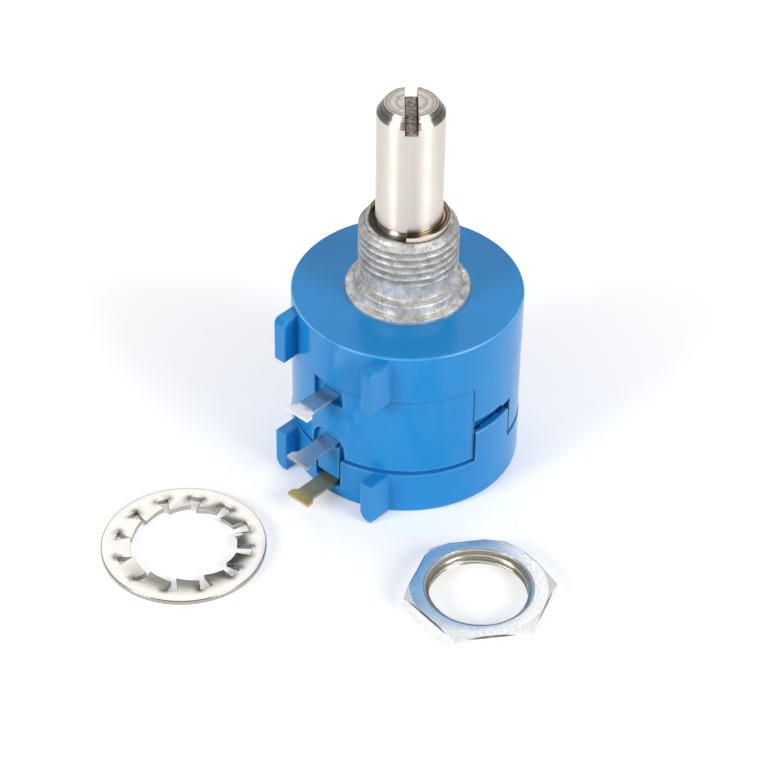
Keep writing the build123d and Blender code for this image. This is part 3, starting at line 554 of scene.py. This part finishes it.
def makeWasher():
    w = washer
    middle = middleOf("lock_washer")
    half = w["thickness"] / 2
    halfAngle = degrees(w["width"] / 2 / w["rootRadius"])
    sector = 360 / w["teeth"]
    gap = sector - 2 * halfAngle

    def dip(offset, r):
        # the twist goes on into the band, and eases from one tooth's low side to the next one's high side
        bend = (w["bendRadius"] - r) / (w["bendRadius"] - w["tipRadius"])
        depth = min(1, max(0, bend * w["bendHaste"]))
        side = radians(offset) * w["rootRadius"]
        if offset > halfAngle:
            side = w["width"] / 2 * cos(pi * (offset - halfAngle) / gap)
        return -side * sin(radians(w["twist"])) * depth * depth * (3 - 2 * depth)

    def steps(start, end, count):
        return [start + (end - start) * k / count for k in range(1, count + 1)]

    edges = rounded([(w["bendRadius"], half, 0), (w["radius"], half, w["edge"]),
                     (w["radius"], -half, w["lowerEdge"]), (w["bendRadius"], -half, 0)])
    rows = steps(w["bendRadius"], w["rootRadius"], w["bandRows"])
    rows += steps(w["rootRadius"], w["tipRadius"], w["toothRows"])
    seam, gapColumns, toothColumns = w["seam"], w["gapColumns"], w["toothColumns"]
    onTooth = [-halfAngle + 2 * halfAngle * k / toothColumns for k in range(toothColumns + 1)]
    onGap = [halfAngle + seam + (gap - 2 * seam) * k / gapColumns for k in range(gapColumns + 1)]
    loops = []
    for tooth in range(w["teeth"]):
        bearing = w["phase"] + tooth * sector
        for offset in onTooth + onGap:
            lower, upper = [], []
            for r in rows:
                r = r if offset <= halfAngle else max(r, w["rootRadius"])
                # teeth keep their width, so they stand as straight blades rather than wedges
                angle = radians(bearing) + radians(offset) * max(1, w["rootRadius"] / r)
                lower.append(polar(r, angle, dip(offset, r) - half, middle))
                upper.append(polar(r, angle, dip(offset, r) + half, middle))
            rim = [polar(r, radians(bearing + offset), z, middle) for r, z in edges]
            loops.append(rim + lower + upper[::-1])
    plate = satinNickel(inMetres(*middle))
    solidFromLoops("lock_washer_stamped", loops, "washer", plate, "lock_washer",
                   w["sharpFrom"])


makeWasher()
print("lock washer made")

# Housing: moulded PBT, blue, with a dark line round each side panel where the mould's side cores met the
# cavity, partly painted shade under the panel's step
housing = {
    "radius": 11.11, "edgeRound": 0.22, "panelGapMiddle": 91.6, "panelGapHalf": 14.2, "lineHeight": 13.75,
    "lineWidth": 0.12, "skin": (9.9, 10.3), "faceDepth": 0.4, "edgeHighlightWidth": 0.25,
    "rimRadius": (10.91, 11.01), "rimDepth": (0.22, 0.12),
}


def mouldedPbt(name, rimZ, withLine):
    # glossy moulded PBT: saturated blue, a soft sheen, fine spark-eroded grain, edges that catch the light,
    # painted highlights on the edges and painted shade inside
    material, add, point = newMaterial(name)
    cloud = add("TexNoise", {"Scale": perMetre(5.0), "Detail": 3}, {"Vector": point})
    colour = add("Mix", {"data_type": "RGBA", first: linear("#188ad2"), second: linear("#1f92da")},
                 {"Factor": cloud})
    gloss = add("MapRange", {"To": (0.16, 0.21)}, {"Value": cloud})
    soft = add("Bevel", {"samples": edgeSamples, "Radius": housing["edgeRound"] * mm})
    grain = add("TexNoise", {"Scale": perMetre(0.18), "Detail": 2}, {"Vector": point})
    relief = add("Bump", {"Strength": 0.08, "Distance": 0.02 * mm}, {"Height": grain, "Normal": soft})
    # painted shade inside the moulding: under the outer skin and below the front face it is painted a dark
    # navy
    x, y, z, radius = aroundAxis(add, point)
    inward = add("MapRange", {"From": inMetres(*housing["skin"]), "To": (0.75, 0)}, {"Value": radius})
    below = add("Math", {"operation": "LESS_THAN", 1: (frontZ - housing["faceDepth"]) * mm}, {0: z})
    innerShade = add("Math", {"operation": "MULTIPLY"}, {0: inward, 1: below})
    colour = add("Mix", {"data_type": "RGBA", second: linear("#0a3578")}, {"Factor": innerShade, first: colour})
    if withLine:
        # the dark line is the mould's witness line, with painted shade under the panel's small step
        behind = add("Math", {"operation": "MULTIPLY", 1: -1.0}, {0: y})
        bearing = add("Math", {"operation": "ARCTAN2"}, {0: x, 1: behind})
        away = add("Math", {"operation": "ABSOLUTE"}, {0: bearing})
        fold = add("Math", {"operation": "SUBTRACT", 1: radians(housing["panelGapMiddle"])}, {0: away})
        fromGap = add("Math", {"operation": "ABSOLUTE"}, {0: fold})
        # arc length past the panel's edge, and height under its top line, both in metres
        arc = housing["radius"] * mm
        gapEdge = -arc * radians(housing["panelGapHalf"])
        across = add("Math", {"operation": "MULTIPLY_ADD", 1: arc, 2: gapEdge}, {0: fromGap})
        under = add("Math", {"operation": "SUBTRACT", 0: housing["lineHeight"] * mm}, {1: z})
        inside = add("Math", {"operation": "MINIMUM"}, {0: across, 1: under})
        near = add("Math", {"operation": "ABSOLUTE"}, {0: inside})
        line = add("MapRange", {"From": inMetres(0, housing["lineWidth"]), "To": (0.9, 0)}, {"Value": near})
        colour = add("Mix", {"data_type": "RGBA", second: linear("#0d4285")}, {"Factor": line, first: colour})
    # painted highlight, a paler blue, on every outer edge: seen from inside the moulding, an edge has a wall
    # close on both sides
    within = add("AmbientOcclusion", {"samples": edgeSamples, "inside": True, "only_local": True,
                                      "Distance": housing["edgeHighlightWidth"] * mm})
    outerEdge = add("MapRange", {"From": (0.5, 0.9), "To": (0.42, 0)}, {"Value": within.outputs["AO"]})
    # the highest one, the front rim or the tongues' tops, has the strongest painted highlight
    outer = add("MapRange", {"From": inMetres(*housing["rimRadius"])}, {"Value": radius})
    rimHeights = [rimZ - depth for depth in housing["rimDepth"]]
    highest = add("MapRange", {"From": inMetres(*rimHeights)}, {"Value": z})
    rim = add("Math", {"operation": "MULTIPLY"}, {0: outer, 1: highest})
    paintedLight = add("Math", {"operation": "MAXIMUM"}, {0: rim, 1: outerEdge})
    patchy = add("MapRange", {"From": (0.35, 0.6), "To": (0.3, 0.9)}, {"Value": cloud})
    edgeHighlight = add("Math", {"operation": "MULTIPLY"}, {0: paintedLight, 1: patchy})
    colour = add("Mix", {"data_type": "RGBA", second: linear("#8fd0f2")}, {"Factor": edgeHighlight, first: colour})
    return finishMaterial(material, add, {"Roughness": 0.18, "IOR": 1.5, "Specular IOR Level": 0.3},
                          {"Base Color": colour, "Roughness": gloss, "Normal": relief})


dress(mouldedPbt("moulded PBT, front shell", frontZ, True), "front_housing")
dress(mouldedPbt("moulded PBT, rear shell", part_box("rear_cover")[1].z / mm, False), "rear_cover")
print("shells coloured")

# Shaft, with the sawn slot across its end
shaft = {
    "endHeight": (39.99, 40.01), "chamferHeight": (38.97, 39.02), "slotBearing": 43.0, "slotHalfWidth": 0.61,
    "slotFloor": 38.4, "slotWall": (0.42, 0.58), "slotHaze": 0.25, "burrReach": (0.7, 1.15), "softEdge": 0.08,
}


def turnedNickel():
    # nickel-plated brass bar: fine turning marks round the axis draw each light into a soft band along it
    material, add, point = newMaterial("nickel-plated turned shaft")
    around = add("Tangent", {"direction_type": "RADIAL", "axis": "Z"})
    _, _, z, radius = aroundAxis(add, point)
    along = add("TexNoise", {"noise_dimensions": "1D", "Scale": perMetre(0.25), "Detail": 3}, {"W": z})
    cloud = add("TexNoise", {"Scale": perMetre(2.5), "Detail": 4}, {"Vector": point})
    colour = add("Mix", {"data_type": "RGBA", first: linear("#e0d8cc"), second: linear("#f1ebe2")},
                 {"Factor": cloud})
    # facing marks on the end: thin dark rings over a mottled ground
    rings = add("TexNoise", {"noise_dimensions": "1D", "Scale": perMetre(0.3), "Detail": 2}, {"W": radius})
    mark = add("MapRange", {"From": (0.51, 0.62), "To": (0, 0.7)}, {"Value": rings})
    onEnd = add("MapRange", {"From": inMetres(*shaft["endHeight"])}, {"Value": z})
    chatter = add("TexNoise", {"Scale": perMetre(0.3), "Detail": 4, "Roughness": 0.7}, {"Vector": point})
    mottle = add("MapRange", {"From": (0.55, 0.66), "To": (0, 0.75)}, {"Value": chatter})
    mark = add("Math", {"operation": "MAXIMUM"}, {0: mark, 1: mottle})
    marks = add("Math", {"operation": "MULTIPLY"}, {0: mark, 1: onEnd})
    colour = add("Mix", {"data_type": "RGBA", second: linear("#6f6a64")}, {"Factor": marks, first: colour})
    # coarser rings on the chamfer
    coarse = add("TexNoise", {"noise_dimensions": "1D", "Scale": perMetre(0.2), "Detail": 2}, {"W": z})
    coarseRing = add("MapRange", {"From": (0.46, 0.6), "To": (0, 0.65)}, {"Value": coarse})
    aboveBar = add("MapRange", {"From": inMetres(*shaft["chamferHeight"])}, {"Value": z})
    onChamfer = add("Math", {"operation": "SUBTRACT"}, {0: aboveBar, 1: onEnd})
    grooves = add("Math", {"operation": "MULTIPLY"}, {0: coarseRing, 1: onChamfer})
    colour = add("Mix", {"data_type": "RGBA", second: linear("#77736c")}, {"Factor": grooves, first: colour})
    # torn metal on the chamfer, where the saw came out beside the slot
    turn = radians(shaft["slotBearing"])
    across = add("VectorMath", {"operation": "DOT_PRODUCT", 1: polar(1, turn)}, {0: point})
    fromMiddle = add("Math", {"operation": "ABSOLUTE"}, {0: across})
    torn = add("TexNoise", {"Scale": perMetre(0.35), "Detail": 4, "Roughness": 0.7}, {"Vector": point})
    burr = add("MapRange", {"From": (0.55, 0.62), "To": (0, 0.9)}, {"Value": torn})
    nearSlot = add("MapRange", {"From": inMetres(*shaft["burrReach"]), "To": (1, 0)}, {"Value": fromMiddle})
    tornPatch = add("Math", {"operation": "MULTIPLY"}, {0: burr, 1: nearSlot})
    tornPatch = add("Math", {"operation": "MULTIPLY"}, {0: tornPatch, 1: onChamfer})
    colour = add("Mix", {"data_type": "RGBA", second: linear("#4f4540")},
                 {"Factor": tornPatch, first: colour})
    # the sawn slot: rough, brown-grey and unplated in places, with painted shade on its walls and the floor
    # beside them
    within = add("Math", {"operation": "LESS_THAN", 1: shaft["slotHalfWidth"] * mm}, {0: fromMiddle})
    above = add("Math", {"operation": "GREATER_THAN", 1: shaft["slotFloor"] * mm}, {0: z})
    inSlot = add("Math", {"operation": "MULTIPLY"}, {0: within, 1: above})
    rough = add("MapRange", {"From": (0.36, 0.64)}, {"Value": torn})
    sawn = add("Mix", {"data_type": "RGBA", first: linear("#77655a"), second: linear("#fbf3ea")},
               {"Factor": rough})
    beside = add("MapRange", {"From": inMetres(*shaft["slotWall"]), "interpolation_type": "SMOOTHSTEP"},
                 {"Value": fromMiddle})
    walled = add("Mix", {"data_type": "RGBA", second: linear("#61463c")}, {"Factor": beside, first: sawn})
    colour = add("Mix", {"data_type": "RGBA"}, {"Factor": inSlot, first: colour, second: walled})
    haze = add("MapRange", {"To": (0.29, 0.37)}, {"Value": cloud})
    gloss = add("Math", {"operation": "MULTIPLY_ADD", 1: shaft["slotHaze"]}, {0: inSlot, 2: haze})
    soft = add("Bevel", {"samples": edgeSamples, "Radius": shaft["softEdge"] * mm})
    lathe = add("Bump", {"Strength": 0.15, "Distance": 0.01 * mm}, {"Height": along, "Normal": soft})
    faceCut = add("Bump", {"Strength": 0.5, "Distance": 0.02 * mm, "invert": True},
                  {"Height": marks, "Normal": lathe})
    chamferCut = add("Bump", {"Strength": 0.5, "Distance": 0.03 * mm}, {"Height": grooves, "Normal": faceCut})
    tear = add("Math", {"operation": "MULTIPLY"}, {0: torn, 1: inSlot})
    ragged = add("Bump", {"Strength": 0.7, "Distance": 0.1 * mm}, {"Height": tear, "Normal": chamferCut})
    plain = {"Metallic": 1.0, "Roughness": 0.33, "Anisotropic": 0.85, "Anisotropic Rotation": 0.25}
    return finishMaterial(material, add, plain, {
        "Base Color": colour, "Roughness": gloss, "Normal": ragged, "Tangent": around})


# Retaining ring, in the shaft's groove
retainingRing = {"outerEdge": (3.84, 3.88), "streakWander": 0.3, "softEdge": 0.06}


def tintedSpring():
    # coiled spring steel ring, brown from its heat treatment on the flats, with a painted highlight on its
    # outer edge
    material, add, point = newMaterial("heat-tinted spring steel ring")
    *_, radius = aroundAxis(add, point)
    wander = add("TexNoise", {"Scale": perMetre(2.0), "Detail": 2}, {"Vector": point})
    path = add("Math", {"operation": "MULTIPLY_ADD", 1: retainingRing["streakWander"] * mm},
               {0: wander, 2: radius})
    streak = add("TexNoise", {"noise_dimensions": "1D", "Scale": perMetre(0.22), "Detail": 2}, {"W": path})
    band = add("MapRange", {"From": (0.42, 0.62)}, {"Value": streak})
    tint = add("Mix", {"data_type": "RGBA", first: linear("#4b3d2c"), second: linear("#b29f86")},
               {"Factor": band})
    # painted highlight: the outer edge is painted a pale cream
    edge = add("MapRange", {"From": inMetres(*retainingRing["outerEdge"])}, {"Value": radius})
    colour = add("Mix", {"data_type": "RGBA", second: linear("#ddd2c1")}, {"Factor": edge, first: tint})
    gloss = add("MapRange", {"To": (0.2, 0.34)}, {"Value": wander})
    soft = add("Bevel", {"samples": edgeSamples, "Radius": retainingRing["softEdge"] * mm})
    drawn = add("Bump", {"Strength": 0.35, "Distance": 0.02 * mm}, {"Height": streak, "Normal": soft})
    return finishMaterial(material, add, {"Metallic": 1.0, "Roughness": 0.26},
                          {"Base Color": colour, "Roughness": gloss, "Normal": drawn})


dress(turnedNickel(), "shaft")
dress(tintedSpring(), "retaining_ring", "thrust_washer")
print("shaft plated")

# Terminals and end taps: plated strip, whose tips stand out towards -Y
terminals = {
    "solderEnds": (-13.8, -13.1), "solderWander": 1.0, "goldEnds": (-14.9, -13.8), "goldWander": 1.2,
    "tinMirror": 0.85, "solderLoss": 0.7, "solderHaze": 0.3, "softEdge": 0.07,
}


def tinnedBrass(name, soldered):
    # electro-tinned brass: pale, slightly blurred mirror with faint rolling lines; solder is white and lumpy
    material, add, point = newMaterial(name)
    stretched = add("Mapping", {"Scale": (8, 1, 8)}, {"Vector": point})
    lines = add("TexNoise", {"Scale": perMetre(0.8), "Detail": 4}, {"Vector": stretched})
    tone = add("Mix", {"data_type": "RGBA", first: linear("#d3d5d5"), second: linear("#dfdfdd")},
               {"Factor": lines})
    parts = add("SeparateXYZ", links={0: point})
    lumps = add("TexNoise", {"Scale": perMetre(0.6), "Detail": 3}, {"Vector": point})
    wobble = add("Math", {"operation": "MULTIPLY_ADD", 1: terminals["solderWander"] * mm},
                 {0: lumps, 2: parts.outputs["Y"]})
    tip = add("MapRange", {"From": inMetres(*terminals["solderEnds"]), "To": (soldered, 0)},
              {"Value": wobble})
    colour = add("Mix", {"data_type": "RGBA", second: linear("#fcfcfa")}, {"Factor": tip, first: tone})
    mirror = add("Math", {"operation": "MULTIPLY_ADD", 1: -terminals["solderLoss"],
                          2: terminals["tinMirror"]}, {0: tip})
    haze = add("MapRange", {"To": (0.22, 0.3)}, {"Value": lines})
    gloss = add("Math", {"operation": "MULTIPLY_ADD", 1: terminals["solderHaze"]}, {0: tip, 2: haze})
    soft = add("Bevel", {"samples": edgeSamples, "Radius": terminals["softEdge"] * mm})
    relief = add("Bump", {"Strength": 0.04, "Distance": 0.01 * mm}, {"Height": lines, "Normal": soft})
    bead = add("Math", {"operation": "MULTIPLY"}, {0: lumps, 1: tip})
    solder = add("Bump", {"Strength": 0.6, "Distance": 0.2 * mm}, {"Height": bead, "Normal": relief})
    return finishMaterial(material, add, {"Metallic": 1.0, "Roughness": 0.2}, {
        "Base Color": colour, "Metallic": mirror, "Roughness": gloss, "Normal": solder})


def goldWashedBrass():
    # brass with a thin gold wash: yellow at the blade's tip, tarnished to olive and scuffed towards the body
    material, add, point = newMaterial("gold-washed brass strip")
    parts = add("SeparateXYZ", links={0: point})
    cloud = add("TexNoise", {"Scale": perMetre(0.7), "Detail": 4}, {"Vector": point})
    wander = terminals["goldWander"] * mm
    wobble = add("Math", {"operation": "MULTIPLY_ADD", 1: wander, 2: -wander / 2}, {0: cloud})
    reach = add("Math", {"operation": "ADD"}, {0: parts.outputs["Y"], 1: wobble})
    tip = add("MapRange", {"From": inMetres(*terminals["goldEnds"]), "interpolation_type": "SMOOTHSTEP"},
              {"Value": reach})
    stain = add("Mix", {"data_type": "RGBA", first: linear("#958a64"), second: linear("#c9bd96")},
                {"Factor": cloud})
    colour = add("Mix", {"data_type": "RGBA", first: linear("#d6b878")}, {"Factor": tip, second: stain})
    soft = add("Bevel", {"samples": edgeSamples, "Radius": terminals["softEdge"] * mm})
    relief = add("Bump", {"Strength": 0.3, "Distance": 0.02 * mm}, {"Height": cloud, "Normal": soft})
    return finishMaterial(material, add, {"Metallic": 0.7, "Roughness": 0.42},
                          {"Base Color": colour, "Normal": relief})


dress(tinnedBrass("tinned brass strip, solder on its tip", 1.0), "terminal_upper")
dress(tinnedBrass("tinned brass strip", 0.0), "terminal_middle", "end_tap_front", "end_tap_rear")
dress(goldWashedBrass(), "terminal_wiper")
print("terminals plated")


def springBrass():
    # bare spring brass: warm yellow, lightly burnished where the contacts slide
    material, add, point = newMaterial("bare spring brass")
    cloud = add("TexNoise", {"Scale": perMetre(1.2), "Detail": 4}, {"Vector": point})
    tone = add("Mix", {"data_type": "RGBA", first: linear("#b8923f"), second: linear("#d8b766")},
               {"Factor": cloud})
    relief = add("Bump", {"Strength": 0.15, "Distance": 0.01 * mm}, {"Height": cloud})
    return finishMaterial(material, add, {"Metallic": 1.0, "Roughness": 0.28},
                          {"Base Color": tone, "Normal": relief})


def glassFilledNylon():
    # black glass-filled moulding: matt, with short pale fibres just under the skin
    material, add, point = newMaterial("black glass-filled moulding")
    stretched = add("Mapping", {"Scale": (1, 1, 6)}, {"Vector": point})
    fibres = add("TexNoise", {"Scale": perMetre(0.35), "Detail": 3, "Roughness": 0.7}, {"Vector": stretched})
    tone = add("Mix", {"data_type": "RGBA", first: linear("#141416"), second: linear("#2b2b2e")},
               {"Factor": fibres})
    relief = add("Bump", {"Strength": 0.25, "Distance": 0.02 * mm}, {"Height": fibres})
    return finishMaterial(material, add, {"Roughness": 0.55, "IOR": 1.53},
                          {"Base Color": tone, "Normal": relief})


# Winding: its real turns are 0.05 mm apart, and are drawn wider so that they can be seen
winding = {"radius": 9.11, "drawnPitch": 0.12}


def resistanceWinding():
    # fine nickel-chrome wire laid turn by turn on a round former: a dark metal, with painted highlights on
    # the close ridges and painted shade between them
    material, add, point = newMaterial("nickel-chrome winding")
    x, y, _ = add("SeparateXYZ", links={0: point}).outputs
    bearing = add("Math", {"operation": "ARCTAN2"}, {0: y, 1: x})
    perTurn = winding["radius"] * 2 * pi / winding["drawnPitch"]
    turns = add("Math", {"operation": "MULTIPLY", 1: perTurn}, {0: bearing})
    wave = add("Math", {"operation": "SINE"}, {0: turns})
    ridge = add("MapRange", {"From": (-1, 1)}, {"Value": wave})
    colour = add("Mix", {"data_type": "RGBA", first: linear("#4c4238"), second: linear("#a8998a")},
                 {"Factor": ridge})
    relief = add("Bump", {"Strength": 0.6, "Distance": 0.03 * mm}, {"Height": ridge})
    return finishMaterial(material, add, {"Metallic": 1.0, "Roughness": 0.3},
                          {"Base Color": colour, "Normal": relief})


dress(springBrass(), "slip_ring", "collector_strip", "wiper_contact", "wiper_brush")
dress(glassFilledNylon(), "rotor", "carriage")
dress(resistanceWinding(), "resistance_element")
print("inner pieces finished")
